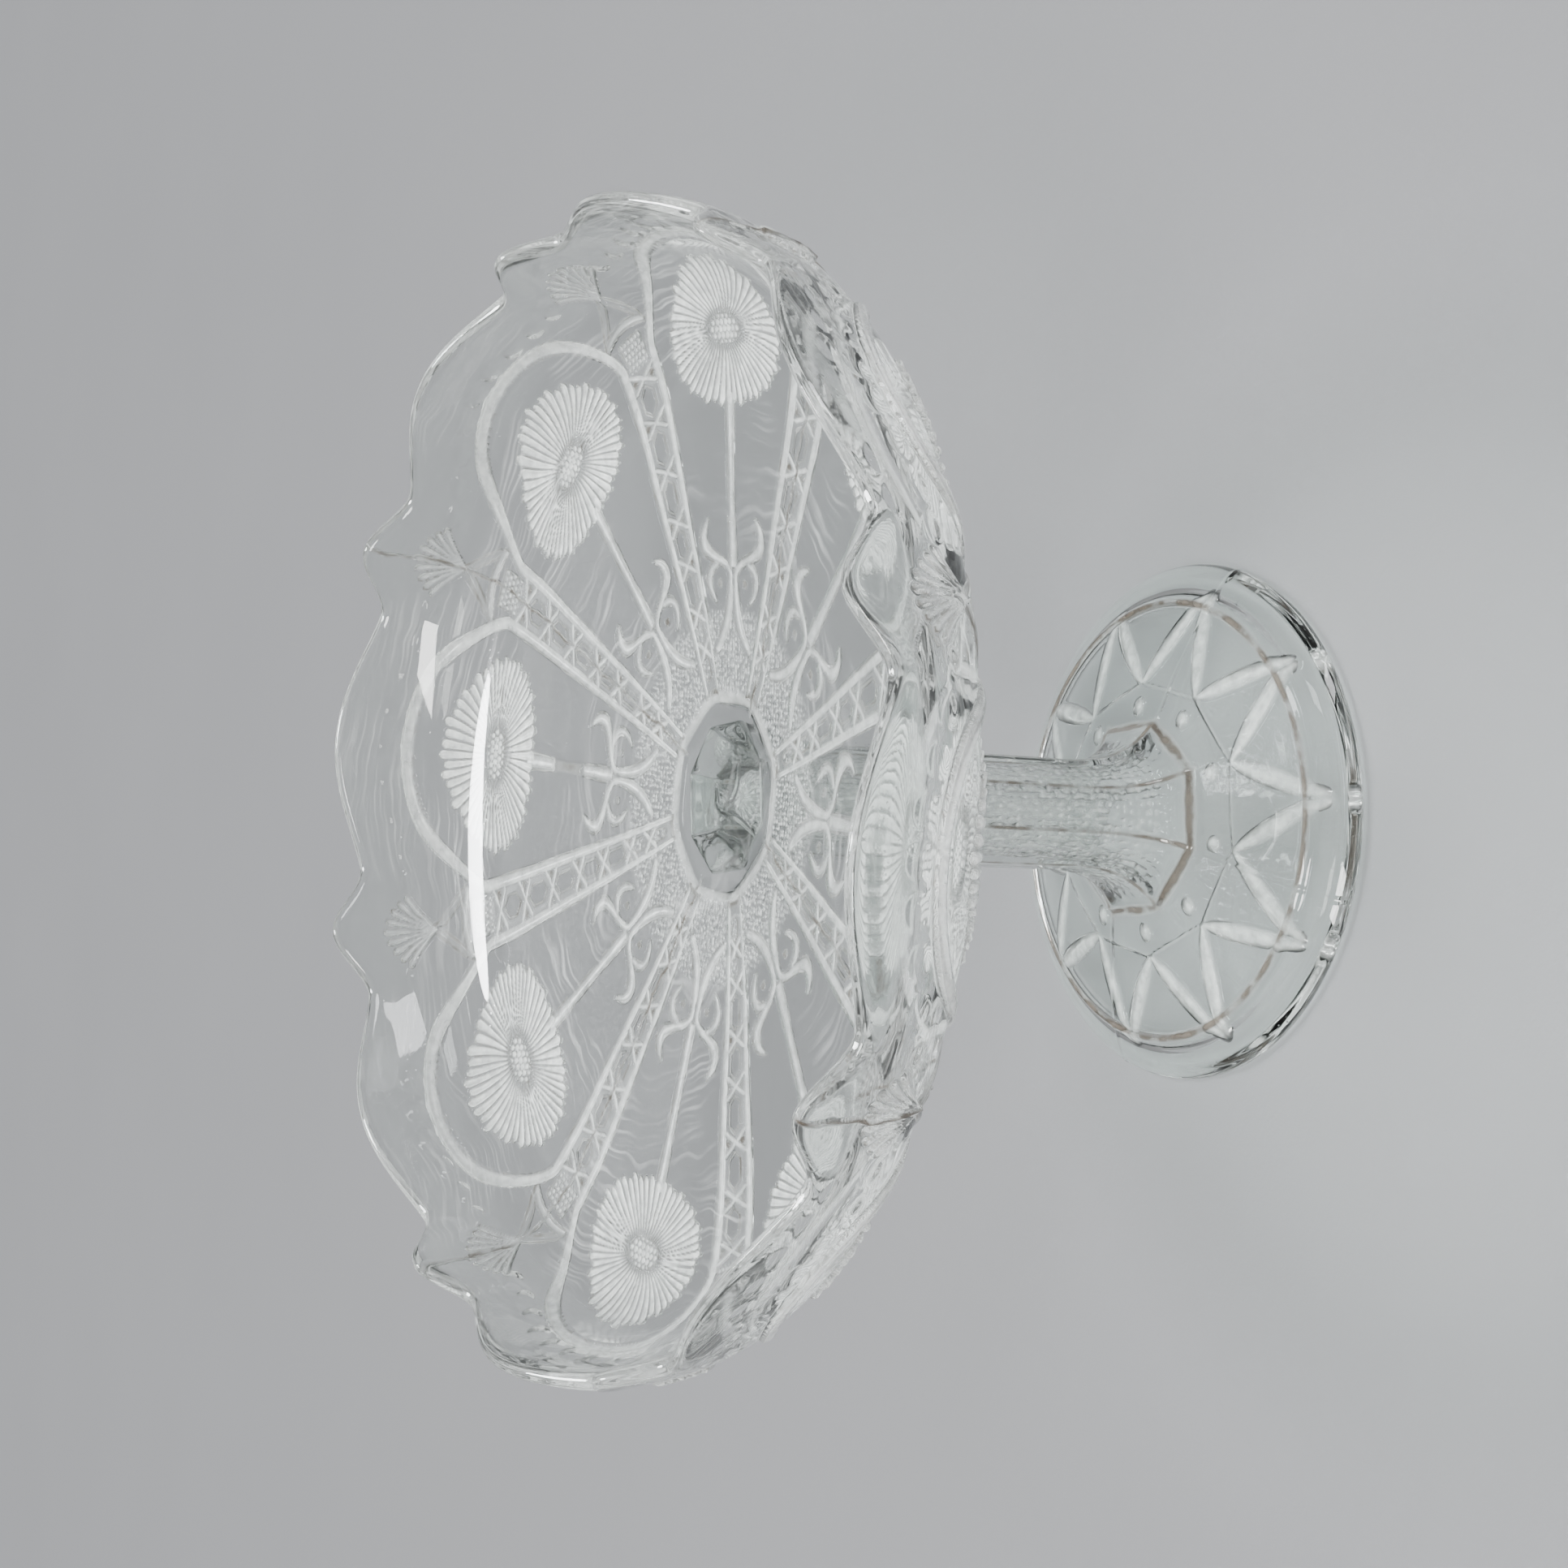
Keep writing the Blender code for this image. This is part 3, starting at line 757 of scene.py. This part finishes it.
# ---------------------------------------------------------------- stage
CAMERA_AT = (0.03526, -0.45924, 0.36981)
CAMERA_TO = (0.00386, -0.00919, 0.10645)
CAMERA_ROLL = -86.857                  # the photograph lies on its side
LENS_MM, SENSOR_MM = 62.62, 36.0
FLOOR_HALF, FLOOR_DROP = 4.0, 0.0001
LIGHT_TARGET = (0, 0, 0.1)
KEY_AT, KEY_SIZE, KEY_WATTS, KEY_COLOUR = (-0.5, -1.0, 1.15), (0.5, 0.5), 30, (1.0, 0.995, 0.98)
SIDE_AT, SIDE_SIZE, SIDE_WATTS, SIDE_COLOUR = (1.1, -0.5, 0.55), (0.25, 0.6), 8, (0.96, 0.98, 1.0)
WASH_FROM, WASH_STRENGTH, WASH_WIDTH, WASH_COLOUR = (0.02, 0.62, 1.2), 5.0, 15, (0.97, 0.98, 1.0)
# Grey of the surroundings by height, from the horizon (0) to the zenith (1).
WORLD_GREYS = ((0.0, 0.42), (0.20, 0.34), (0.34, 0.10), (0.62, 0.09), (0.80, 0.60), (1.0, 0.90))


def make_floor():
    mesh = bpy.data.meshes.new("floor")
    corners = [(-1, -1), (1, -1), (1, 1), (-1, 1)]
    points = [(x * FLOOR_HALF, y * FLOOR_HALF, -FLOOR_DROP) for x, y in corners]
    mesh.from_pydata(points, [], [(0, 1, 2, 3)])
    mesh.materials.append(floor_material())
    floor = bpy.data.objects.new("floor", mesh)
    bpy.context.scene.collection.objects.link(floor)


def make_softbox(name, at, size, watts, colour):
    data = bpy.data.lights.new(name, "AREA")
    data.shape, data.size, data.size_y = "RECTANGLE", size[0], size[1]
    data.energy, data.color = watts, colour
    lamp = bpy.data.objects.new(name, data)
    lamp.location = at
    lamp.rotation_euler = (Vector(LIGHT_TARGET) - Vector(at)).to_track_quat("-Z", "Y").to_euler()
    bpy.context.scene.collection.objects.link(lamp)


def make_wash(name, came_from, strength, width, colour):
    """Even, soft light from far above, which keeps the whole floor pale."""
    data = bpy.data.lights.new(name, "SUN")
    data.energy, data.angle, data.color = strength, radians(width), colour
    lamp = bpy.data.objects.new(name, data)
    lamp.location = came_from
    lamp.rotation_euler = Vector(came_from).to_track_quat("Z", "Y").to_euler()
    bpy.context.scene.collection.objects.link(lamp)


def make_world():
    world = bpy.data.worlds.new("studio")
    bpy.context.scene.world = world
    world.use_nodes = True
    tree = world.node_tree
    where = tree.nodes.new("ShaderNodeTexCoord")
    parts = tree.nodes.new("ShaderNodeSeparateXYZ")
    ramp = tree.nodes.new("ShaderNodeValToRGB")
    tree.links.new(where.outputs["Generated"], parts.inputs[0])
    tree.links.new(parts.outputs[2], ramp.inputs[0])
    steps = ramp.color_ramp.elements
    for place, _ in WORLD_GREYS[1:-1]:
        steps.new(place)
    for step, (_, grey) in zip(steps, WORLD_GREYS):
        step.color = (grey, grey, 1.03 * grey, 1)
    tree.links.new(ramp.outputs[0], tree.nodes["Background"].inputs[0])


def make_camera():
    at, to = Vector(CAMERA_AT), Vector(CAMERA_TO)
    back = (at - to).normalized()
    right = Vector((0, 0, 1)).cross(back).normalized()
    upright = Matrix((right, back.cross(right), back)).transposed()
    data = bpy.data.cameras.new("camera")
    data.lens, data.sensor_width = LENS_MM, SENSOR_MM
    data.clip_start = 0.01
    camera = bpy.data.objects.new("camera", data)
    turned = upright @ Matrix.Rotation(radians(CAMERA_ROLL), 3, "Z")
    camera.matrix_world = Matrix.LocRotScale(at, turned.to_quaternion(), None)
    bpy.context.scene.collection.objects.link(camera)
    bpy.context.scene.camera = camera


def main():
    make_camera()
    make_floor()
    make_world()
    make_softbox("key_softbox", KEY_AT, KEY_SIZE, KEY_WATTS, KEY_COLOUR)
    make_wash("overhead_wash", WASH_FROM, WASH_STRENGTH, WASH_WIDTH, WASH_COLOUR)
    make_softbox("side_softbox", SIDE_AT, SIDE_SIZE, SIDE_WATTS, SIDE_COLOUR)
    dish = make_dish(pressed_glass("dish_pressed_glass", DISH_TINT))
    pedestal = make_pedestal(pressed_glass("pedestal_pressed_glass", PEDESTAL_TINT))
    for piece, node in ((dish, "dish"), (pedestal, "pedestal")):
        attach(piece, "root")
        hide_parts(node)


main()
